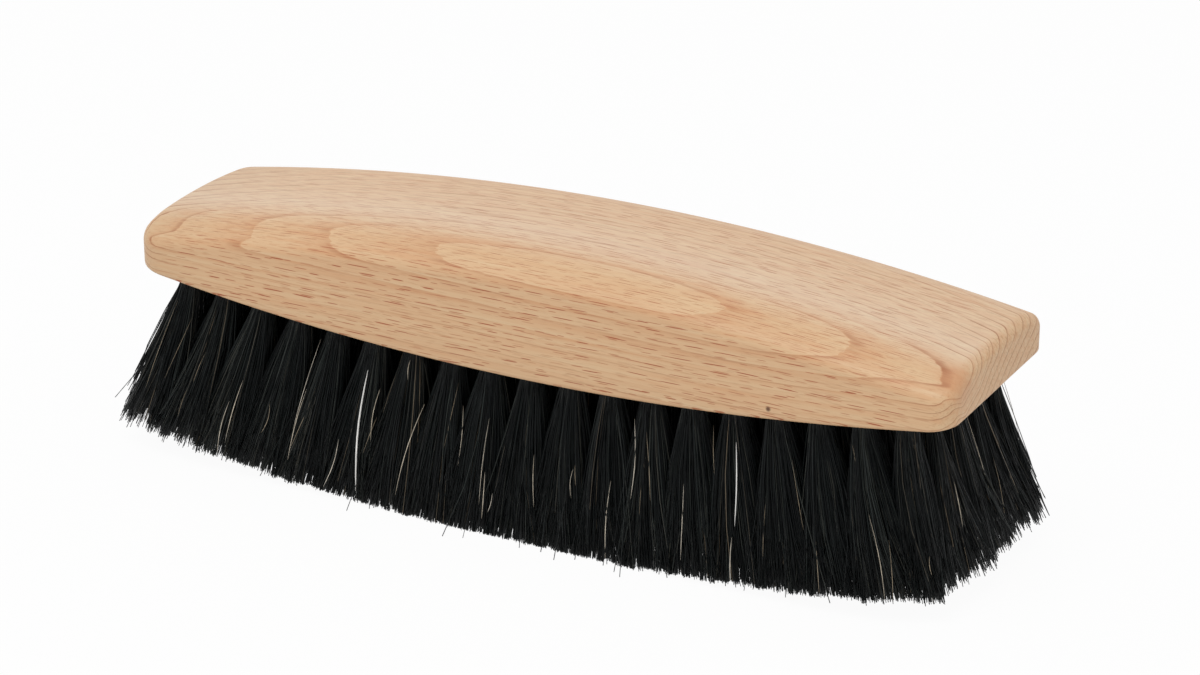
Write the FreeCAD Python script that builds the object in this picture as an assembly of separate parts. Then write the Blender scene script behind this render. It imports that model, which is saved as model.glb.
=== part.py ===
import FreeCAD, Part
import math
import os

V = FreeCAD.Vector

# Wooden block, in millimetres: thick in the middle, thin at both ends, with round shoulders along its sides
block_length = 180.0
block_width = 47.6
block_height = 25.0
top_drop = 7.8
underside_rise = 7.2
crown_tilt = 5.0
shoulder_width = 10.8
shoulder_radius = 22.0
corner_radius = 6.2
top_edge_radius = 3.0
bottom_edge_bevel = 0.8

# Field of hair tufts: ranks run across the block, rows run along it
tuft_ranks = 19
tuft_rows = 5
end_margin = 10.8
side_margin = 5.5
hair_length = 32.8
tip_overhang_end = 4.0
tip_overhang_side = 4.2
tip_gap = 0.3

# Hole of one tuft, and how the folded hair fills it
hole_diameter = 4.5
hole_depth = 7.0
shank_clearance = 0.1
fold_clearance = 0.3
collar_drop = 0.6

# Flat-wire anchor driven across each hole
anchor_thickness = 0.4
anchor_width = 1.6
fold_thickness = 1.0


def arc_radius(half_chord, rise):
    """Radius of the arc that rises by this much from the ends of its chord to the middle."""
    return (half_chord ** 2 + rise ** 2) / (2 * rise)


# The underside and the trimmed tips are arcs about one centre, high above the brush
underside_z = hair_length
top_z = underside_z + block_height
underside_radius = arc_radius(block_length / 2, underside_rise)
rocker_centre_z = underside_z + underside_radius
trim_radius = underside_radius + hair_length

# Pitch of the tufts at the wood and at the tips
root_pitch_x = (block_length - 2 * end_margin) / (tuft_ranks - 1)
root_pitch_y = (block_width - 2 * side_margin) / (tuft_rows - 1)
tip_pitch_x = (block_length + 2 * tip_overhang_end) / tuft_ranks
tip_pitch_y = (block_width + 2 * tip_overhang_side) / tuft_rows

# Holes and shanks are drawn with eight flats
hole_flat = hole_diameter / 2 * math.cos(math.pi / 8)
shank_flat = hole_flat - shank_clearance
shank_depth = hole_depth - fold_clearance


def rounded_plan():
    """Plan of the block, with straight sides and ends and round corners, drawn up from the floor."""
    corner = V(-block_length / 2, -block_width / 2, 0)
    prism = Part.makeBox(block_length, block_width, top_z, corner)
    upright = [edge for edge in prism.Edges if edge.BoundBox.ZLength > block_height]
    return prism.makeFillet(corner_radius, upright)


def shoulder_point(reach):
    """Point of the middle section this far outward along a shoulder, which is an arc tangent to the crown."""
    tilt = math.radians(crown_tilt)
    crown_y = block_width / 2 - shoulder_width
    crown_z = top_z - crown_y * math.tan(tilt / 2)
    outer_tilt = math.asin(math.sin(tilt) + reach / shoulder_radius)
    return V(0, crown_y + reach, crown_z - shoulder_radius * (math.cos(tilt) - math.cos(outer_tilt)))


def mirrored(point):
    """The same point on the other long side."""
    return V(point.x, -point.y, point.z)


def crowned_stock():
    """Everything below the top: a section with a flat crown between two round shoulders, swung lengthwise."""
    far = [shoulder_point(share * shoulder_width) for share in (0, 0.75, 1.5)]
    near = [mirrored(point) for point in far]
    floor_near, floor_far = V(0, near[2].y, 0), V(0, far[2].y, 0)
    section = Part.Face(Part.Wire([
        Part.makeLine(floor_near, floor_far),
        Part.makeLine(floor_far, far[2]),
        Part.Arc(far[2], far[1], far[0]).toShape(),
        Part.Arc(far[0], V(0, 0, top_z), near[0]).toShape(),
        Part.Arc(near[0], near[1], near[2]).toShape(),
        Part.makeLine(near[2], floor_near),
    ]))
    swing_radius = arc_radius(block_length / 2, top_drop)
    half_swing = math.degrees(math.asin(0.6 * block_length / swing_radius))
    axis_point = V(0, 0, top_z - swing_radius)
    section.rotate(axis_point, V(0, 1, 0), -half_swing)
    return section.revolve(axis_point, V(0, 1, 0), 2 * half_swing)


def rocker_stock():
    """Everything above the convex underside: a wide drum whose lowest line is the middle of the underside."""
    start = V(0, -block_width, rocker_centre_z)
    return Part.makeCylinder(underside_radius, 2 * block_width, start, V(0, 1, 0))


def shaped_block():
    """The wooden block before drilling, with its top edges rounded over and its bottom edges bevelled."""
    stock = rounded_plan().common(crowned_stock())
    end_wall = shoulder_point(shoulder_width).z - underside_z - top_drop - underside_rise
    walls = [face for face in stock.Faces if face.BoundBox.ZLength > underside_z]
    rim = [edge for wall in walls for edge in wall.Edges if edge.BoundBox.ZMin > underside_z]
    block = stock.makeFillet(min(top_edge_radius, 0.6 * end_wall), rim).common(rocker_stock())
    underside = min(block.Faces, key=lambda face: face.CenterOfMass.z)
    return block.makeChamfer(min(bottom_edge_bevel, 0.2 * end_wall), underside.OuterWire.Edges)


def tuft_axis(rank, row):
    """Ends of a tuft's axis: its root on the underside and the middle of its trimmed tips."""
    step_x = rank - (tuft_ranks - 1) / 2
    step_y = row - (tuft_rows - 1) / 2
    root_x = step_x * root_pitch_x
    tip_x = step_x * tip_pitch_x
    root_z = rocker_centre_z - math.sqrt(underside_radius ** 2 - root_x ** 2)
    tip_z = rocker_centre_z - math.sqrt(trim_radius ** 2 - tip_x ** 2)
    return V(root_x, step_y * root_pitch_y, root_z), V(tip_x, step_y * tip_pitch_y, tip_z)


def ring(rank, row, depth, half_along, half_across, bevel):
    """Corners of a bevelled rectangle about a tuft's axis, this deep in the wood, parallel to its trimmed tips."""
    root, tip = tuft_axis(rank, row)
    lean = math.asin(tip.x / trim_radius)
    along, across = V(math.cos(lean), 0, math.sin(lean)), V(0, 1, 0)
    centre = root + (root - tip).normalize() * depth
    short_along, short_across = half_along - bevel, half_across - bevel
    steps = [
        (half_along, -short_across), (half_along, short_across),
        (short_along, half_across), (-short_along, half_across),
        (-half_along, short_across), (-half_along, -short_across),
        (-short_along, -half_across), (short_along, -half_across),
    ]
    return [centre + along * u + across * v for u, v in steps]


def round_ring(rank, row, depth, flat):
    """Ring with eight equal flats at this distance from a tuft's axis."""
    return ring(rank, row, depth, flat, flat, flat - flat * math.tan(math.pi / 8))


def distinct(corners):
    """These corners in order, where neighbours in the same place count once."""
    before = corners[-1:] + corners[:-1]
    return [corner for corner, last in zip(corners, before) if not corner.isEqual(last, 1e-6)]


def solid_through(rings):
    """Closed solid of flat faces through rings of eight corners each."""
    outlines = [rings[0], rings[-1]]
    for lower, upper in zip(rings, rings[1:]):
        outlines += [[lower[k - 1], lower[k], upper[k], upper[k - 1]] for k in range(8)]
    outlines = [distinct(outline) for outline in outlines]
    faces = [Part.Face(Part.makePolygon(line + line[:1])) for line in outlines if len(line) > 2]
    solid = Part.Solid(Part.makeShell(faces))
    solid.fix(1e-4, 1e-4, 1e-4)
    return solid


def hole(rank, row):
    """Room for one tuft in the wood, from below the underside to the bottom of the hole."""
    return solid_through([round_ring(rank, row, depth, hole_flat) for depth in (-hole_diameter, hole_depth)])


def anchor(rank, row):
    """Flat strip of wire on edge, wedged from wall to wall of a hole, with the fold of the hair above it."""
    upper = shank_depth - fold_thickness
    depths = (upper - anchor_width, upper)
    return solid_through([ring(rank, row, depth, anchor_thickness / 2, hole_flat, 0) for depth in depths])


def tuft(rank, row):
    """One bundle of hair, folded over its anchor: a shank in its hole, then a flare to its share of the tips."""
    root, tip = tuft_axis(rank, row)
    half_along, half_across = (tip_pitch_x - tip_gap) / 2, (tip_pitch_y - tip_gap) / 2
    bundle = solid_through([
        round_ring(rank, row, shank_depth, shank_flat),
        round_ring(rank, row, -collar_drop, shank_flat),
        ring(rank, row, -root.distanceToPoint(tip), half_along, half_across, 0),
    ])
    return bundle.cut(anchor(rank, row))


def drilled_block():
    """The wooden block with a hole for every tuft."""
    return shaped_block().cut([hole(rank, row) for rank in range(tuft_ranks) for row in range(tuft_rows)])


os.makedirs("parts", exist_ok=True)
drilled_block().exportStep("parts/block.step")
for rank in range(tuft_ranks):
    tufts = [tuft(rank, row) for row in range(tuft_rows)]
    anchors = [anchor(rank, row) for row in range(tuft_rows)]
    Part.makeCompound(tufts).exportStep(f"parts/tuft_rank_{rank + 1:02d}.step")
    Part.makeCompound(anchors).exportStep(f"parts/anchor_rank_{rank + 1:02d}.step")
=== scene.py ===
import bpy
import numpy as np
from mathutils import Matrix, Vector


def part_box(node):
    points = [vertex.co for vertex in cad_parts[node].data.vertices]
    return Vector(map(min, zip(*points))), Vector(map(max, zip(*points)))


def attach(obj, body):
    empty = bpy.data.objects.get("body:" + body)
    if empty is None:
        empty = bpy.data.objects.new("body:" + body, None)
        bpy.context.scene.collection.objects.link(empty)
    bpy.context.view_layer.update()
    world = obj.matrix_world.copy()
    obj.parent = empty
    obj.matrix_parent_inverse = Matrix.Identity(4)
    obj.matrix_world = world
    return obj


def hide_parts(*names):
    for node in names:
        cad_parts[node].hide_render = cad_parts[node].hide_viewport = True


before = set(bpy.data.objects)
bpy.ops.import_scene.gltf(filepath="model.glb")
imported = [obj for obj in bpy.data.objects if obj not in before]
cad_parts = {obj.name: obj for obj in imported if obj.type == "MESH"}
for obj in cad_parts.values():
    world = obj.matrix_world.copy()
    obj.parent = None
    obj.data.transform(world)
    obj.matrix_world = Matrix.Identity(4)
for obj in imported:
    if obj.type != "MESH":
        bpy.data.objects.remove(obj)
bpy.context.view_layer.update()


# The block: one piece of beech, sawn to a lens shape from the side, planed to a flat crown with round
# shoulders, rounded over at its edges and matt lacquered. Blind holes for the hair are drilled in its
# underside, fanned outward.
mm = 0.001
block_low, block_high = np.array(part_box("block"))
block_length = 180 * mm
block_width = 47.6 * mm
underside_z, top_z = block_low[2], block_high[2]
top_drop, underside_rise = 7.8 * mm, 7.2 * mm
crown_tilt, shoulder_width, shoulder_radius = np.radians(5), 10.8 * mm, 22 * mm
left_corner_radius, right_corner_radius = 6.2 * mm, 4.8 * mm
top_edge_radius, bottom_edge_radius = 3 * mm, 0.8 * mm
slope_step, settling_rounds = 0.001 * mm, 5
tuft_ranks, tuft_rows = 19, 5
end_margin, side_margin = 10.8 * mm, 5.5 * mm
tip_overhang_end, tip_overhang_side = 4 * mm, 4.2 * mm
hole_radius, hole_depth = 2.25 * mm, 7 * mm
points_per_cell = 8
along_steps, across_steps = tuft_ranks * points_per_cell, tuft_rows * points_per_cell


def arc_radius(half_chord, rise):
    """Radius of the arc that rises by this much from the ends of its chord to the middle."""
    return (half_chord ** 2 + rise ** 2) / (2 * rise)


def arc_drop(distance, radius):
    """How far an arc of this radius has fallen this far from its highest point."""
    return radius - np.sqrt(radius ** 2 - distance ** 2)


underside_radius = arc_radius(block_length / 2, underside_rise)
hair_length = underside_z


def underside_height(x):
    """Height of the convex underside: an arc along the block."""
    return underside_z + arc_drop(x, underside_radius)


def trimmed_height(x):
    """Height of the trimmed hair tips: an arc about the underside's own centre."""
    return underside_height(0) - hair_length + arc_drop(x, underside_radius + hair_length)


def top_height(x, y):
    """Height of the top: a crown arc, then a tighter shoulder arc tangent to it, swung along a wide arc."""
    crown_half = block_width / 2 - shoulder_width
    beyond = np.maximum(np.abs(y) - crown_half, 0)
    tilt = np.arcsin(np.sin(crown_tilt) + beyond / shoulder_radius)
    crown = arc_drop(np.minimum(np.abs(y), crown_half), crown_half / np.sin(crown_tilt))
    drop = crown + shoulder_radius * (np.cos(crown_tilt) - np.cos(tilt))
    return top_z - drop - arc_drop(x, arc_radius(block_length / 2, top_drop) - drop)


def plan_outline():
    """Loop round the plan, from the middle of the near left corner: straight runs and quarter circles of each
    end's own radius, with outward normals."""
    left, right = left_corner_radius, right_corner_radius
    radius = np.array([left, left, right, right, right, right, left, left, left, left])
    core_x = np.array([-1, -1, 1, 1, 1, 1, -1, -1, -1, -1]) * (block_length / 2 - radius)
    core_y = np.array([-1, -1, -1, -1, 1, 1, 1, 1, -1, -1]) * (block_width / 2 - radius)
    turn = np.array([-3, -2, -2, 0, 0, 2, 2, 4, 4, 5]) * np.pi / 4
    runs = np.hypot(np.diff(core_x), np.diff(core_y)) + radius[1:] * np.diff(turn)
    stops = np.append(0, np.cumsum(runs))
    corners = [0, (stops[2] + stops[3]) / 2, (stops[4] + stops[5]) / 2, (stops[6] + stops[7]) / 2, stops[9]]
    steps = [along_steps, across_steps] * 2
    walked = np.concatenate([np.linspace(*ends, n, endpoint=False)
                             for *ends, n in zip(corners, corners[1:], steps)])
    x, y, turn, radius = [np.interp(walked, stops, values) for values in (core_x, core_y, turn, radius)]
    normal = np.stack([np.cos(turn), np.sin(turn)], -1)
    return np.stack([x, y], -1) + radius[:, None] * normal, normal


def raised(plan, z):
    """Points of a plan at these heights."""
    return np.concatenate([plan, np.broadcast_to(z, plan.shape[:-1])[..., None]], -1)


def side_rows(edge, normal, round_steps=10, wall_steps=5):
    """Loops up the side: a quarter round from the underside, a plumb wall, and a ball-nosed edge that meets
    the top, where the reach of the ball follows from the slope of the top."""
    turn = np.linspace(0, np.pi / 2, 5)[:, None]
    low_plan = edge - normal * (bottom_edge_radius * (1 - np.sin(turn)))[..., None]
    low = raised(low_plan, underside_height(edge[:, 0]) + bottom_edge_radius * (1 - np.cos(turn)))
    reach = np.full((len(edge), 1), top_edge_radius)
    for _ in range(settling_rounds):
        inner = edge - normal * reach
        step = normal * slope_step
        slope = (top_height(*(inner - step).T) - top_height(*(inner + step).T)) / (2 * slope_step)
        reach = top_edge_radius * (1 - slope / np.hypot(1, slope))[:, None]
    centre_z = top_height(*inner.T) - top_edge_radius / np.hypot(1, slope)
    turn = np.linspace(0, 1, round_steps)[:, None] * np.arctan2(1, slope)
    high_plan = edge - normal * (top_edge_radius * (1 - np.cos(turn)))[..., None]
    high = raised(high_plan, centre_z + top_edge_radius * np.sin(turn))
    share = np.linspace(0, 1, wall_steps)[1:-1, None, None]
    wall = low[-1] + (high[0] - low[-1]) * share
    return np.concatenate([low, wall, high])


def cap_grid(loop):
    """Coons patch over the loop where the side meets the top: blended edges less blended corners, laid on
    the top."""
    plan, n, m = loop[:, :2], along_steps, across_steps
    closed = np.concatenate([plan, plan[:1]])
    near, right = closed[:n + 1, None], closed[None, n:n + m + 1]
    far, left = closed[n + m:2 * n + m + 1][::-1, None], closed[None, 2 * n + m:][:, ::-1]
    u, v = np.linspace(0, 1, n + 1)[:, None, None], np.linspace(0, 1, m + 1)[None, :, None]
    corners = (1 - u) * ((1 - v) * near[:1] + v * far[:1]) + u * ((1 - v) * near[-1:] + v * far[-1:])
    patch = (1 - v) * near + v * far + (1 - u) * left + u * right - corners
    return raised(patch, top_height(patch[..., 0], patch[..., 1]))


def tuft_axes():
    """Roots of the tufts on the underside and middles of their tips, by rank and row."""
    steps = np.stack(np.meshgrid(np.arange(tuft_ranks) - (tuft_ranks - 1) / 2,
                                 np.arange(tuft_rows) - (tuft_rows - 1) / 2, indexing="ij"), -1)
    root_pitch = np.array([(block_length - 2 * end_margin) / (tuft_ranks - 1),
                           (block_width - 2 * side_margin) / (tuft_rows - 1)])
    tip_pitch = np.array([(block_length + 2 * tip_overhang_end) / tuft_ranks,
                          (block_width + 2 * tip_overhang_side) / tuft_rows])
    root, tip = steps * root_pitch, steps * tip_pitch
    return raised(root, underside_height(root[..., 0])), raised(tip, trimmed_height(tip[..., 0]))


roots, tips = tuft_axes()


def cell_lines(places):
    """Lines midway between neighbouring holes, and one past the hole at each end."""
    rim = 1.5 * hole_radius
    return np.concatenate([[places[0] - rim], (places[1:] + places[:-1]) / 2, [places[-1] + rim]])


def cell_loops():
    """Loops of every hole: its bottom, its rim, and the rectangle of underside about it, as rows of loops."""
    n = points_per_cell
    lines_x, lines_y = cell_lines(roots[:, 0, 0]), cell_lines(roots[0, :, 1])
    ramp, level = np.arange(n) / n, np.zeros(n)
    share_x = np.concatenate([ramp, level + 1, 1 - ramp, level])[None, None]
    share_y = np.concatenate([level, ramp, level + 1, 1 - ramp])[None, None]
    x = lines_x[:-1, None, None] + np.diff(lines_x)[:, None, None] * share_x
    y = lines_y[None, :-1, None] + np.diff(lines_y)[None, :, None] * share_y
    x, y = np.broadcast_arrays(x, y)
    square = raised(np.stack([x, y], -1), underside_height(x))
    turn = np.arctan2(share_y - 0.5, share_x - 0.5)
    ring = hole_radius * np.stack([np.cos(turn), np.sin(turn)], -1) + roots[:, :, None, :2]
    rim = raised(ring, underside_height(ring[..., 0]))
    inward = (roots - tips) / np.linalg.norm(roots - tips, axis=-1, keepdims=True)
    return np.stack([rim + inward[:, :, None] * hole_depth, rim, square], 2), lines_x, lines_y


def loop_quads(rows, count, start=0):
    """Faces between neighbouring closed loops of this many points, where the loops follow each other."""
    row, column = np.meshgrid(np.arange(rows - 1), np.arange(count), indexing="ij")
    here, after = start + row * count + column, start + row * count + (column + 1) % count
    return np.stack([here, after, after + count, here + count], -1).reshape(-1, 4)


def grid_quads(rows, columns, start=0):
    """Faces of an open grid of points that lie row after row."""
    row, column = np.meshgrid(np.arange(rows - 1), np.arange(columns - 1), indexing="ij")
    here = start + row * columns + column
    return np.stack([here, here + columns, here + columns + 1, here + 1], -1).reshape(-1, 4)


def mesh_piece(name, points, faces, flat_map):
    """Smooth object from points and arrays of faces, with a place on a flat map for every point, where points
    in one place are welded."""
    mesh = bpy.data.meshes.new(name)
    weld = 1e-4 * mm
    welded, number = np.unique(np.round(points / weld).astype(np.int64), axis=0, return_inverse=True)
    number = number.ravel()
    places = np.zeros((len(welded), 3))
    places[number] = points
    mesh.from_pydata(places.tolist(), [], [corners for part in faces for corners in number[part].tolist()])
    corner_points = np.concatenate([part.ravel() for part in faces])
    mesh.uv_layers.new(name="OFBake").data.foreach_set("uv", flat_map[corner_points].ravel())
    mesh.shade_smooth()
    piece = bpy.data.objects.new(name, mesh)
    bpy.context.scene.collection.objects.link(piece)
    return piece


def make_block():
    """The whole skin of the block: drilled underside, side and top, each laid out apart on the flat map."""
    edge, normal = plan_outline()
    side = side_rows(edge, normal)
    count = len(edge)
    holes, lines_x, lines_y = cell_loops()
    share = np.arange(points_per_cell) / points_per_cell
    field_x = np.append((lines_x[:-1, None] + np.diff(lines_x)[:, None] * share).ravel(), lines_x[-1])
    field_y = np.append((lines_y[:-1, None] + np.diff(lines_y)[:, None] * share).ravel(), lines_y[-1])
    runs = [(field_x[:-1], lines_y[0]), (lines_x[-1], field_y[:-1]),
            (field_x[:0:-1], lines_y[-1]), (lines_x[0], field_y[:0:-1])]
    field = np.concatenate([np.stack(np.broadcast_arrays(*run), -1) for run in runs])
    border = np.stack([raised(field, underside_height(field[:, 0])), side[0]])
    cap = cap_grid(side[-1])
    spread = np.cumsum(np.linalg.norm(np.diff(side[::-1], axis=0), axis=-1), axis=0)[::-1]
    side_map = side[-1, :, :2] + normal * np.concatenate([spread, np.zeros((1, count))])[..., None]
    hole_map = holes[..., :2].copy()
    map_size, map_middle, underside_shift, bottom_share = 260 * mm, [0.5, 0.7], [0, 95 * mm], 0.6
    hole_map[:, :, 0] = roots[:, :, None, :2] + bottom_share * (holes[:, :, 1, :, :2] - roots[:, :, None, :2])
    maps = [side_map, cap[..., :2], border[..., :2] - underside_shift, hole_map - underside_shift]
    flat_map = np.concatenate([part.reshape(-1, 2) for part in maps]) / map_size + map_middle
    skins = [side, cap, border, holes]
    starts = np.cumsum([0] + [skin.size // 3 for skin in skins])
    points = np.concatenate([skin.reshape(-1, 3) for skin in skins])
    ring = 4 * points_per_cell
    hole_starts = starts[3] + np.arange(tuft_ranks * tuft_rows)[:, None, None] * 3 * ring
    bottoms = hole_starts[:, :, 0] + np.arange(ring)[::-1]
    faces = [
        loop_quads(len(side), count), grid_quads(along_steps + 1, across_steps + 1, starts[1]),
        loop_quads(2, count, starts[2]), (hole_starts + loop_quads(3, ring)).reshape(-1, 4), bottoms,
    ]
    piece = mesh_piece("beech_block", points, faces, flat_map)
    piece.data.set_sharp_from_angle(angle=np.radians(35))
    return piece


class Signal:
    """A socket among a material's nodes: arithmetic on values adds Math nodes, and node() any other node."""

    def __init__(self, tree, socket=None):
        self.tree = tree
        self.socket = socket

    def node(self, kind, settings, inputs, output=0):
        """A new node: its settings are made first, then the values or links of its sockets."""
        added = self.tree.nodes.new(kind)
        for name, value in settings.items():
            if name == "stops":
                added.color_ramp.elements.remove(added.color_ramp.elements[1])
                added.color_ramp.elements[0].position = value[0][0]
                added.color_ramp.elements[0].color = value[0][1]
                for place, colour in value[1:]:
                    added.color_ramp.elements.new(place).color = colour
            else:
                setattr(added, name, value)
        for name, value in inputs.items():
            if isinstance(value, Signal):
                self.tree.links.new(value.socket, added.inputs[name])
            else:
                added.inputs[name].default_value = value
        return Signal(self.tree, added.outputs[output] if added.outputs else None)

    def maths(self, operation, *others):
        """A Math node on this value and others."""
        return self.node("ShaderNodeMath", {"operation": operation}, dict(enumerate((self, *others))))

    def __add__(self, other):
        return self.maths("ADD", other)

    def __sub__(self, other):
        return self.maths("SUBTRACT", other)

    def __rsub__(self, other):
        return self.node("ShaderNodeMath", {"operation": "SUBTRACT"}, {0: other, 1: self})

    def __mul__(self, other):
        return self.maths("MULTIPLY", other)

    def __truediv__(self, other):
        return self.maths("DIVIDE", other)

    def __pow__(self, other):
        return self.maths("POWER", other)

    def __abs__(self):
        return self.maths("ABSOLUTE")

    def floor(self):
        """The whole number below this value."""
        return self.maths("FLOOR")

    def fraction(self):
        """What this value holds past the whole number below it."""
        return self.maths("FRACT")

    def step(self, low, high):
        """Rises smoothly from 0 to 1 as this value goes from low to high."""
        return self.node("ShaderNodeMapRange", {"interpolation_type": "SMOOTHSTEP"},
                         {"Value": self, "From Min": low, "From Max": high})

    def mix(self, colour, other):
        """This value's blend from one colour to another."""
        return self.node("ShaderNodeMix", {"data_type": "RGBA"}, {0: self, 6: colour, 7: other}, 2)

    __radd__ = __add__
    __rmul__ = __mul__


def paint(red, green, blue):
    """Linear colour from the 0 to 255 values of a screen."""
    share = np.array([red, green, blue]) / 255
    return (*np.where(share < 0.04045, share / 12.92, ((share + 0.055) / 1.055) ** 2.4), 1)


def new_material(name):
    """An empty material, and a signal that adds nodes to it."""
    material = bpy.data.materials.new(name)
    material.use_nodes = True
    material.node_tree.nodes.clear()
    return material, Signal(material.node_tree)


def object_place(nodes):
    """Place on the piece in millimetres: as a vector, and as its three values."""
    place = nodes.node("ShaderNodeTexCoord", {}, {}, "Object")
    place = nodes.node("ShaderNodeVectorMath", {"operation": "SCALE"}, {0: place, "Scale": 1 / mm})
    return place, [nodes.node("ShaderNodeSeparateXYZ", {}, {0: place}, axis) for axis in range(3)]


def vector(nodes, x, y, z):
    """A vector from its three values."""
    return nodes.node("ShaderNodeCombineXYZ", {}, {0: x, 1: y, 2: z})


def noise(nodes, place, scale, detail=2):
    """Noise about zero, where the scale is for each axis and per millimetre."""
    stretched = nodes.node("ShaderNodeVectorMath", {"operation": "MULTIPLY"}, {0: place, 1: scale})
    return nodes.node("ShaderNodeTexNoise", {}, {"Vector": stretched, "Scale": 1, "Detail": detail}) - 0.5


def graph(value, points):
    """A value carried through straight pieces between points, drawn as the greys of a ramp."""
    x, y = np.array(points, float).T
    greys = (y - y.min()) / np.ptp(y)
    stops = [(place, (grey, grey, grey, 1)) for place, grey in zip((x - x[0]) / np.ptp(x), greys)]
    ramp = value.node("ShaderNodeValToRGB", {"stops": stops}, {0: (value - x[0]) / np.ptp(x)})
    return ramp * np.ptp(y) + y.min()


def ray_flecks(nodes, along, around, cell, half_length, fineness, seed):
    """Lens-shaped ends of the wood's rays: one in each cell of a brick pattern, or none, where random numbers
    of the cell give its place and length. A greater fineness makes thinner flecks."""
    row = (around / cell[1]).floor()
    shift = nodes.node("ShaderNodeTexWhiteNoise", {"noise_dimensions": "2D"},
                       {"Vector": vector(nodes, row, seed, 0)})
    place = along / cell[0] + shift
    own = nodes.node("ShaderNodeTexWhiteNoise", {"noise_dimensions": "3D"},
                     {"Vector": vector(nodes, place.floor(), row, seed)}, 1)
    chance, moved, longer = [nodes.node("ShaderNodeSeparateColor", {}, {0: own}, part) for part in range(3)]
    from_middle = (place.fraction() - 0.5) * cell[0] / (half_length * (0.4 + longer * 0.6))
    from_line = abs((around / cell[1]).fraction() - 0.15 - moved * 0.7) * fineness * cell[1]
    squared = from_middle * from_middle
    return (1 - squared * squared - from_line).step(0, 0.7) * chance.step(0.05, 0.7)


def distance(nodes, place, spot):
    """How far a place is from one spot, in millimetres."""
    return nodes.node("ShaderNodeVectorMath", {"operation": "DISTANCE"}, {0: place, 1: spot}, 1)


# Growth rings, in millimetres: widths from the lowest ring up, and bends by their begin, end and rise
ring_tilt, ring_lean = np.radians(29.9), 0.0177
first_ring = 14
inner_rings = np.linspace(2.88, 2.06, 12)
outer_rings = [1.95, 0.9, 2, 1.1, 1.3, 2.6, 2, 1.9, 2.6, 3]
ring_levels = first_ring + np.cumsum([0, *inner_rings, *outer_rings])
ring_bends = [(2, 6, -1.43), (6, 13, 0.69), (13, 19, -0.91), (19, 26, -0.55)]
ring_start = 1.1
pale_wood, red_wood, ring_brown = paint(227, 194, 153), paint(207, 151, 107), paint(168, 108, 72)
# The third colour on the next line is the pale cream of the painted sheen on the crown.
thread_brown, line_brown, sheen_cream = paint(166, 98, 58), paint(174, 120, 68), paint(246, 234, 216)
large_ray, small_ray = paint(166, 74, 34), paint(176, 92, 52)
warm_corner, warm_orange = (88.5, -18, 47.5), paint(204, 136, 92)
knot_speck, speck_brown = (53.4, -23.8, 37.6), paint(112, 76, 52)


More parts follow.
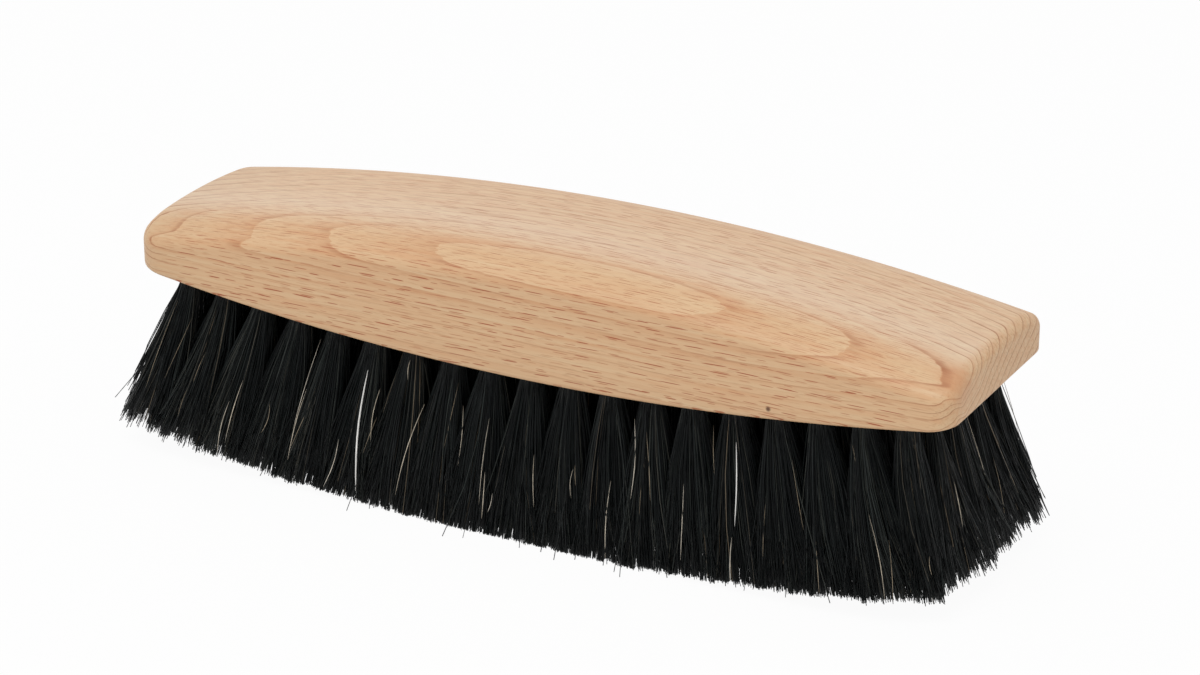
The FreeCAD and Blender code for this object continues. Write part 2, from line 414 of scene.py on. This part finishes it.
def beech_material():
    """Beech: tilted growth rings that redden to their outer edges, with ray flecks and fine fibres. The rings
    sway in smooth bends, and a painted sheen of pale cream lies over the crown of the block."""
    material, nodes = new_material("matt lacquered beech")
    place, (x, y, z) = object_place(nodes)
    around = y * np.cos(ring_tilt) + z * np.sin(ring_tilt)
    sway = sum(around.step(begin, end) * rise for begin, end, rise in ring_bends) + ring_start
    wander = noise(nodes, place, (0.02, 0.06, 0.06), 1) * 0.35
    wander = wander + noise(nodes, place, (0.14, 0.9, 0.9), 2) * 0.22
    dip = x.step(40, 95) * (2.7 - around.step(3, 6.3) * 3.2)
    height = x * ring_lean - y * np.sin(ring_tilt) + z * np.cos(ring_tilt) + sway + wander - dip
    ring = graph(height, [(level, count) for count, level in enumerate(ring_levels)])
    phase = ring.fraction()
    end_grain = abs(x).step(77, 88)
    late = phase ** 1.7 * (0.36 + graph(height, [(49.5, 0), (51.5, 1)]) * 0.26)
    edge = phase.step(0.82, 0.97) * (1 - phase.step(0.975, 1))
    patchy = (noise(nodes, place, (0.05, 0.5, 0.5), 2) + 0.5).step(0.38, 0.68)
    fibres = noise(nodes, place, (0.03, 1.1, 1.1), 5)
    threads = noise(nodes, place, (0.04, 4.2, 4.2), 2).step(0.06, 0.22)
    dashes = noise(nodes, place, (0.35, 3.8, 3.8), 1).step(0.04, 0.26)
    on_top = y.step(-14, -4)
    lines = noise(nodes, place, (0.022, 1.6, 1.6), 3).step(0.02, 0.2) * on_top
    drawn = graph(y, [(-24, 1), (-16, 1.1), (-8, 1.2), (0, 1.2), (24, 1.3)])
    wood = (0.25 + late * 0.66 + fibres * drawn).mix(pale_wood, red_wood)
    wood = (threads * 0.2 + dashes * 0.22).mix(wood, thread_brown)
    wood = (lines * 0.42).mix(wood, line_brown)
    shade = 1.025 + fibres * 0.1 - (1 - x.step(-94, -62)) * 0.07
    wood = nodes.node("ShaderNodeVectorMath", {"operation": "SCALE"}, {0: wood, "Scale": shade})
    # Painted sheen: pale cream mixed in over the crown and near shoulder, strongest a little in front of the
    # middle, in place of the reflection of the bright surroundings.
    painted_sheen = graph(y, [(-24, 0), (-19, 0), (-16, 0.08), (-12, 0.24), (-8, 0.33), (-3, 0.25), (0, 0.21),
                      (12, 0.11), (20, 0.06), (24, 0)])
    wood = (painted_sheen * (1 - abs(x).step(87, 90))).mix(wood, sheen_cream)
    wood = ((patchy * 0.42 + end_grain * 0.55) * edge).mix(wood, ring_brown)
    wood = ((1 - distance(nodes, place, warm_corner).step(1, 6)) * 0.4).mix(wood, warm_orange)
    bent = around + noise(nodes, place, (0.03, 0.2, 0.2), 1) * 0.8
    on_face = graph(y, [(-24, 1), (-16, 0.9), (-8, 0.75), (-2, 0.6), (24, 0.5)]) * (1 - end_grain)
    fineness = graph(y, [(-24, 16), (-17, 15), (-10, 11), (-3, 6), (12, 5), (19, 11), (24, 16)])
    large = ray_flecks(nodes, x, bent, cell=(7, 0.8), half_length=3.2, fineness=fineness, seed=1.5)
    large = large * on_face * (1 - on_top * (1 - x.step(-80, 10)) * 0.6)
    small = ray_flecks(nodes, x, bent, cell=(4.6, 0.52), half_length=2.2, fineness=fineness * 1.2, seed=7.5)
    small = small * on_face * (1 - on_top * 0.8)
    wood = (small * 0.8).mix(wood, small_ray)
    wood = (large * 0.95).mix(wood, large_ray)
    wood = (1 - distance(nodes, place, knot_speck).step(0.2, 0.7)).mix(wood, speck_brown)
    bump = nodes.node("ShaderNodeBump", {}, {"Strength": 0.12, "Distance": 0.05 * mm, "Height": fibres})
    surface = nodes.node("ShaderNodeBsdfPrincipled", {}, {
        "Base Color": wood, "Roughness": 0.5 + fibres * 0.1, "Specular IOR Level": 0.42, "Normal": bump})
    nodes.node("ShaderNodeOutputMaterial", {}, {0: surface})
    return material


block = make_block()
block.data.materials.append(beech_material())
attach(block, "root")
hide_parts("block")


# The anchors: one short strip of flat drawn wire across each hole, driven in with the folded tuft so that
# its ends bite the wood. They are wholly hidden by the hair and keep the shape of their solids.
def wire_material():
    """Drawn steel wire: pale grey with fine lengthwise draw marks."""
    material, nodes = new_material("flat drawn wire")
    place, _ = object_place(nodes)
    marks = noise(nodes, place, (6, 0.4, 6), 2)
    surface = nodes.node("ShaderNodeBsdfPrincipled", {}, {
        "Base Color": (marks + 0.5).mix(paint(168, 164, 156), paint(204, 201, 194)),
        "Metallic": 1.0, "Roughness": 0.35 + marks * 0.3})
    nodes.node("ShaderNodeOutputMaterial", {}, {0: surface})
    return material


drawn_wire = wire_material()
for rank in range(1, tuft_ranks + 1):
    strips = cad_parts[f"anchor_rank_{rank:02d}"]
    strips.data.materials.clear()
    strips.data.materials.append(drawn_wire)


# The tufts: bundles of black horsehair with a few brown and grey hairs, each folded over its anchor in its
# hole. They fan out of the wood, merge a third of the way down and are trimmed to the bow of the underside.
inner_hairs, outer_hairs = 240, 880
hair_radius = 0.09 * mm
mouth_radius = 1.95 * mm
clump_cells = 9
tone_columns = 64
fold_share = 0.19
hair_stations = np.array([-fold_share, 0, 0.14, 0.38, 0.68, 1])
trimmed_taper = np.linspace(1, 0.94, len(hair_stations))
tip_spread = np.array([6.1, 6.4]) * mm
left_reach, right_reach, side_reach = 95 * mm, 90.6 * mm, 28.4 * mm
right_bow, corner_power = 4.6 * mm, 8
end_ease, side_ease = 0.035, 0.08
clump_pull = 0.3
loose_share, loose_spread, neat_spread = 0.25, 1.3 * mm, 0.3 * mm
stray_share, stray_spread = 0.01, 2.2 * mm
short_share, short_share_at_ends, most_shortened = 0.12, 0.25, 0.45
flare_power, left_end_flare, right_end_flare = 1.12, 0.14, 0.34
tone_scatter, last_black_column = 14, 46
brown_share, brown_columns = 0.03, (40, 56)
inner_stoutness = 1.35


def soft_limit(value, limit, ease):
    """Value that bends over to stay below a limit, from this share short of it."""
    size = np.abs(value) / limit
    over = np.maximum(size - (1 - ease), 0)
    return np.sign(value) * limit * (np.minimum(size, 1 - ease) + ease * (1 - np.exp(-over / ease)))


def trimmed_ends(ends):
    """Tips kept inside the trimmed field: a rectangle with round corners, bowed in at its near right."""
    bowed_reach = right_reach - right_bow * np.clip(-ends[:, 1] / side_reach, 0, 1) ** 2
    end_reach = np.where(ends[:, 0] < 0, left_reach, bowed_reach)
    x = soft_limit(ends[:, 0], end_reach, end_ease)
    corner = (1 - np.minimum(np.abs(x) / (1.01 * end_reach), 1) ** corner_power) ** (1 / corner_power)
    return np.stack([x, soft_limit(ends[:, 1], side_reach * corner, side_ease)], -1)


def tuft_hairs(random, root, tip, count, open_side):
    """Middle lines of one tuft's hairs, and the clump each belongs to: a square of shares is squeezed to the
    round hole and spread over the tips, where neighbours draw together in clumps. Most hairs lie to the open
    side."""
    share = random.uniform(0, 1, (count, 2))
    share = np.where(open_side == 0, 2 * share - 1, open_side * (1 - 2 * share ** 1.6))
    cell = np.floor((share + 1) / 2 * clump_cells).astype(int)
    clump = cell[:, 0] * clump_cells + cell[:, 1]
    clumps = clump_cells ** 2
    gathered = (cell + 0.5) / clump_cells * 2 - 1 + random.normal(0, 0.06, (clumps, 2))[clump]
    loose = np.where(random.random((count, 1)) < loose_share, loose_spread, neat_spread)
    stray = np.where(random.random((count, 1)) < stray_share, stray_spread, 0)
    at_end = (np.abs(root[0]) / roots[-1, 0, 0]) ** 6
    shortened = random.random(count) < short_share + short_share_at_ends * at_end
    short = np.where(shortened, random.uniform(0, most_shortened, count) ** 1.4, 0)
    slant = (tip - root)[:2]
    outward = slant / (np.linalg.norm(slant) or 1)
    spread = (share + (gathered - share) * clump_pull) * tip_spread
    ends = tip[:2] + spread + random.normal(0, 1, (count, 2)) * loose
    ends = trimmed_ends(ends) + random.normal(0, 1, (count, 2)) * stray
    ragged = random.normal(0, 0.9 * mm, clumps)[clump] * at_end
    ends += outward * (short * random.uniform(0.5, 3.5, count) * 3 * mm + ragged)[:, None]
    cut = random.normal(0, 0.13 * mm, count) + random.normal(0, 0.2 * mm, clumps)[clump]
    cut *= 1 + 4 * at_end
    length = 1 + cut / hair_length - short
    starts = raised(root[:2] + share * np.sqrt(1 - share[:, ::-1] ** 2 / 2) * mouth_radius, root[2])
    finishes = raised(ends, trimmed_height(ends[:, 0]))
    s = np.clip(hair_stations, 0, 1) * length[:, None]
    flare = flare_power + np.where(root[0] > 0, right_end_flare, left_end_flare) * at_end
    progress = np.stack([s ** flare, s ** flare_power, s], -1)
    lines = starts[:, None] + (finishes - starts)[:, None] * progress
    bow = random.normal(0, 0.5 * mm, (count, 2)) + random.normal(0, 0.55 * mm, (clumps, 2))[clump]
    bow += random.normal(0, 1, (count, 2)) * stray / 2
    lines[..., :2] += bow[:, None] * np.sin(np.pi * np.clip(s, 0, 1))[..., None]
    lines[..., 2] = np.maximum(lines[..., 2], hair_radius)
    inward = (root - tip) / np.linalg.norm(root - tip)
    return lines + np.clip(-hair_stations, 0, 1)[:, None] * hair_length * inward, clump


def hair_tubes(random, lines, radius, taper, columns):
    """Three-sided tubes about middle lines, tapered along the hair, as points, faces and places on a map of
    tone against length."""
    count, stations = lines.shape[:2]
    along = np.gradient(lines, axis=1)
    along /= np.linalg.norm(along, axis=-1, keepdims=True)
    aside = np.cross(along, [0, 1, 0])
    aside /= np.linalg.norm(aside, axis=-1, keepdims=True)
    across = np.cross(along, aside)
    turn = random.uniform(0, 2 * np.pi, (count, 1, 1)) + np.arange(3) * 2 * np.pi / 3
    thick = radius[:, None, None, None] * taper[None, :, None, None]
    ring = np.cos(turn)[..., None] * aside[:, :, None] + np.sin(turn)[..., None] * across[:, :, None]
    points = lines[:, :, None] + thick * ring
    first = np.arange(count)[:, None, None] * stations * 3
    walls = (first + loop_quads(stations, 3)[None]).reshape(-1, 4)
    tops, ends = first[:, :, 0] + [2, 1, 0], first[:, :, 0] + (stations - 1) * 3 + [0, 1, 2]
    width = np.array([-0.3, 0, 0.3])[None, None]
    u = np.broadcast_to((columns[:, None, None] + 0.5 + width) / tone_columns, (count, stations, 3))
    v = np.broadcast_to(np.linspace(0.02, 0.98, stations)[None, :, None], u.shape)
    return points.reshape(-1, 3), [walls, tops, ends], np.stack([u, v], -1).reshape(-1, 2)


def hair_material():
    """Horsehair: the tone runs from black over grey and tan to white with the column of the map, with a soft
    sheen. Brightness also breaks up along each hair: partly random tone, partly painted glints."""
    material, nodes = new_material("black horsehair")
    spot = nodes.node("ShaderNodeUVMap", {"uv_map": "OFBake"}, {})
    column, length = [nodes.node("ShaderNodeSeparateXYZ", {}, {0: spot}, axis) for axis in range(2)]
    tones = [(0, paint(2, 6, 7)), (0.25, paint(8, 13, 14)), (0.5, paint(30, 36, 35)),
             (0.7, paint(58, 61, 57)), (0.8, paint(84, 78, 68)), (0.9, paint(134, 118, 96)),
             (0.94, paint(206, 192, 168)), (0.965, paint(246, 244, 240))]
    hair = nodes.node("ShaderNodeValToRGB", {"stops": tones}, {0: column})
    # Brightness that breaks up along the hairs: partly random tone, partly painted glints.
    stretched = vector(nodes, column * 150, length * 7, 0)
    tone_and_glints = nodes.node("ShaderNodeTexNoise", {}, {"Vector": stretched, "Scale": 1, "Detail": 1})
    level = (0.7 + length.step(0.1, 0.5) * 0.3) * (0.72 + tone_and_glints.step(0.3, 0.7) * 0.5)
    level = level.maths("MAXIMUM", column.step(0.94, 0.97))
    dim = nodes.node("ShaderNodeVectorMath", {"operation": "SCALE"}, {0: hair, "Scale": level})
    surface = nodes.node("ShaderNodeBsdfPrincipled", {}, {
        "Base Color": dim, "Roughness": 0.28, "Specular IOR Level": 0.22,
        "Coat Weight": column.step(0.93, 0.97), "Coat Roughness": 0.15})
    nodes.node("ShaderNodeOutputMaterial", {}, {0: surface})
    return material


horsehair = hair_material()
for rank in range(tuft_ranks):
    random = np.random.default_rng(100 + rank)
    end_side = (rank == tuft_ranks - 1) - (rank == 0)
    sides = [np.array([end_side, (row == tuft_rows - 1) - (row == 0)]) for row in range(tuft_rows)]
    counts = [outer_hairs if side.any() else inner_hairs for side in sides]
    bundles = [tuft_hairs(random, roots[rank, row], tips[rank, row], counts[row], sides[row])
               for row in range(tuft_rows)]
    lines = np.concatenate([bundle[0] for bundle in bundles])
    shared = [random.normal(0, tone_scatter, clump_cells ** 2)[bundle[1]] for bundle in bundles]
    columns = np.abs(np.concatenate(shared) + random.normal(0, tone_scatter, len(lines)))
    columns = columns.clip(0, last_black_column)
    brown = random.random(len(lines)) < brown_share
    columns = np.where(brown, random.uniform(*brown_columns, len(lines)), columns).astype(int)
    stout = np.repeat(np.where(np.array(counts) == outer_hairs, 1, inner_stoutness), counts)
    radius = hair_radius * stout * random.uniform(0.8, 1.2, len(lines))
    tuft = mesh_piece(f"hair_rank_{rank + 1:02d}", *hair_tubes(random, lines, radius, trimmed_taper, columns))
    tuft.data.materials.append(horsehair)
    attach(tuft, "root")
    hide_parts(f"tuft_rank_{rank + 1:02d}")


# Pale hairs: single tan, cream and silver horsehairs that have left their bundles by chance. They lie on the
# skin of the tufts along the near side and at the right end, and one stout white hair lies on the sixth tuft.
pale_stations = np.linspace(0, 1, 8)
pale_taper = 0.25 + 0.75 * np.sin(np.pi * pale_stations) ** 0.5
tan, cream, silver, white = 58, 60, 62, 63
tone_radii = np.array([0.06, 0.09, 0.13, 0.22]) * mm
tan_share, silver_share = 0.5, 0.08
side_count, end_count = 38, 4
place_scatter, drift_scatter, bow_scatter = 2.5 * mm, 3 * mm, 0.4 * mm
white_rank, white_from, white_to, white_bow = 5, 0.2, 0.93, 0.9 * mm
side_skin_at_wood, side_skin_at_tips, end_skin_at_wood = 2.3 * mm, 0.3 * mm, 2.4 * mm


def side_skin(x, share):
    """Place on the near skin of the hair, this share of the way from the wood to the tips."""
    root_y, tip_y = roots[0, 0, 1] - side_skin_at_wood, -side_reach - side_skin_at_tips
    z = underside_height(x) * (1 - share) + trimmed_height(x) * share
    return np.stack([x, root_y + (tip_y - root_y) * share, z], -1)


def end_skin(y, share):
    """Place on the skin of the hair at the right end, this share of the way from the wood to the tips."""
    root_x, tip_x = roots[-1, 0, 0] + end_skin_at_wood, right_reach
    z = underside_height(root_x) * (1 - share) + trimmed_height(tip_x) * share
    return np.stack([root_x + (tip_x - root_x) * share, y, z], -1)


def pale_lines(random, places, skin):
    """Middle lines of pale hairs: each runs down a skin from its place at the wood, over its own part of the
    way, fanned outward like the tufts and with a bow to the side."""
    count = len(places)
    upper = random.uniform(0.03, 0.75, (count, 1))
    lower = np.minimum(upper + random.uniform(0.1, 0.65, (count, 1)), 0.98)
    fan = tips[-1, 0, 0] / roots[-1, 0, 0] - 1
    drift = places[:, None] * fan + random.normal(0, drift_scatter, (count, 1))
    bow = random.normal(0, bow_scatter, (count, 1))
    share = upper + (lower - upper) * pale_stations
    return skin(places[:, None] + drift * share + bow * np.sin(np.pi * pale_stations), share)


random = np.random.default_rng(7)
side_places = np.linspace(roots[0, 0, 0], roots[-1, 0, 0], side_count)
side_places += random.normal(0, place_scatter, side_count)
end_places = np.linspace(roots[0, 1, 1], roots[0, -1, 1], end_count)
white_share = white_from + (white_to - white_from) * pale_stations
white_x = roots[white_rank, 0, 0] - white_bow * np.sin(np.pi * pale_stations)
pale_middles = np.concatenate([pale_lines(random, side_places, side_skin),
                               pale_lines(random, end_places, end_skin),
                               side_skin(white_x, white_share)[None]])
chance = random.random(side_count + end_count)
pale_columns = np.where(chance < tan_share, tan, np.where(chance < 1 - silver_share, cream, silver))
pale_columns = np.append(pale_columns, white)
pale_radius = np.interp(pale_columns, [tan, cream, silver, white], tone_radii)
pale = mesh_piece("pale_hairs", *hair_tubes(random, pale_middles, pale_radius, pale_taper, pale_columns))
pale.data.materials.append(horsehair)
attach(pale, "root")


# The studio: a wide floor that looks white to the eye and takes a faint shadow, an even white surround, one
# soft lamp above and in front of the brush, and a long lens that looks down on it from its near right.
def seen(nodes):
    """1 on rays from the eye, in reflections and through glass, and else 0."""
    eye, mirrored, through = [nodes.node("ShaderNodeLightPath", {}, {}, ray)
                              for ray in ("Is Camera Ray", "Is Glossy Ray", "Is Transmission Ray")]
    return (eye + mirrored + through).maths("MINIMUM", 1)


def floor_material():
    """White floor: mostly its own white to the eye and to reflections, with a little of the light that falls
    on it, and clear from below."""
    material, nodes = new_material("white floor")
    behind = nodes.node("ShaderNodeNewGeometry", {}, {}, "Backfacing")
    lit = nodes.node("ShaderNodeBsdfDiffuse", {}, {"Color": (0.9, 0.9, 0.9, 1)})
    white = nodes.node("ShaderNodeEmission", {}, {"Color": (1, 1, 1, 1), "Strength": 1})
    clear = nodes.node("ShaderNodeBsdfTransparent", {}, {})
    surface = nodes.node("ShaderNodeMixShader", {}, {0: seen(nodes) * 0.95, 1: lit, 2: white})
    surface = nodes.node("ShaderNodeMixShader", {}, {0: behind, 1: surface, 2: clear})
    nodes.node("ShaderNodeOutputMaterial", {}, {0: surface})
    return material


half_floor = 4
floor_corners = [(-half_floor, -half_floor, 0), (half_floor, -half_floor, 0),
                 (half_floor, half_floor, 0), (-half_floor, half_floor, 0)]
floor_mesh = bpy.data.meshes.new("floor")
floor_mesh.from_pydata(floor_corners, [], [(0, 1, 2, 3)])
floor = bpy.data.objects.new("floor", floor_mesh)
floor_mesh.materials.append(floor_material())
bpy.context.scene.collection.objects.link(floor)

world = bpy.data.worlds.new("studio")
world.use_nodes = True
world.node_tree.nodes.clear()
nodes = Signal(world.node_tree)
fill_light = 0.58
sky = nodes.node("ShaderNodeBackground", {}, {
    "Color": (1, 1, 1, 1), "Strength": fill_light + seen(nodes) * (1 - fill_light)})
nodes.node("ShaderNodeOutputWorld", {}, {0: sky})
bpy.context.scene.world = world


def turned(right, up, back):
    """The rotation that gives a thing these three directions as its own axes."""
    return Matrix(np.stack([right, up, back], -1).tolist()).to_4x4()


def soft_lamp(name, place, target, size, watts):
    """Square area lamp at a place, turned to a target."""
    lamp = bpy.data.lights.new(name, "AREA")
    lamp.size, lamp.energy = size, watts
    back = np.array(place) - target
    back /= np.linalg.norm(back)
    right = np.cross([0, 0, 1], back)
    right /= np.linalg.norm(right)
    lamp_object = bpy.data.objects.new(name, lamp)
    lamp_object.matrix_world = Matrix.Translation(place) @ turned(right, np.cross(back, right), back)
    bpy.context.scene.collection.objects.link(lamp_object)


soft_lamp("key", place=(0, -0.5, 1.15), target=(0, 0, 0.04), size=0.7, watts=5.7)

camera_azimuth, camera_elevation = np.radians(27.99), np.radians(22.4)
camera_distance, camera_right, camera_up = 697.4 * mm, 4.64 * mm, 0.96 * mm
camera_aim = np.array([0, 0, 32 * mm])
back = np.array([np.sin(camera_azimuth) * np.cos(camera_elevation),
                 -np.cos(camera_azimuth) * np.cos(camera_elevation), np.sin(camera_elevation)])
right = np.array([np.cos(camera_azimuth), np.sin(camera_azimuth), 0])
up = np.cross(back, right)
stand = camera_aim + back * camera_distance + right * camera_right + up * camera_up
lens = bpy.data.cameras.new("camera")
lens.lens, lens.sensor_width = 105, 36
camera = bpy.data.objects.new("camera", lens)
camera.matrix_world = Matrix.Translation(stand.tolist()) @ turned(right, up, back)
bpy.context.scene.collection.objects.link(camera)
bpy.context.scene.camera = camera
bpy.context.scene.view_settings.view_transform = "Standard"
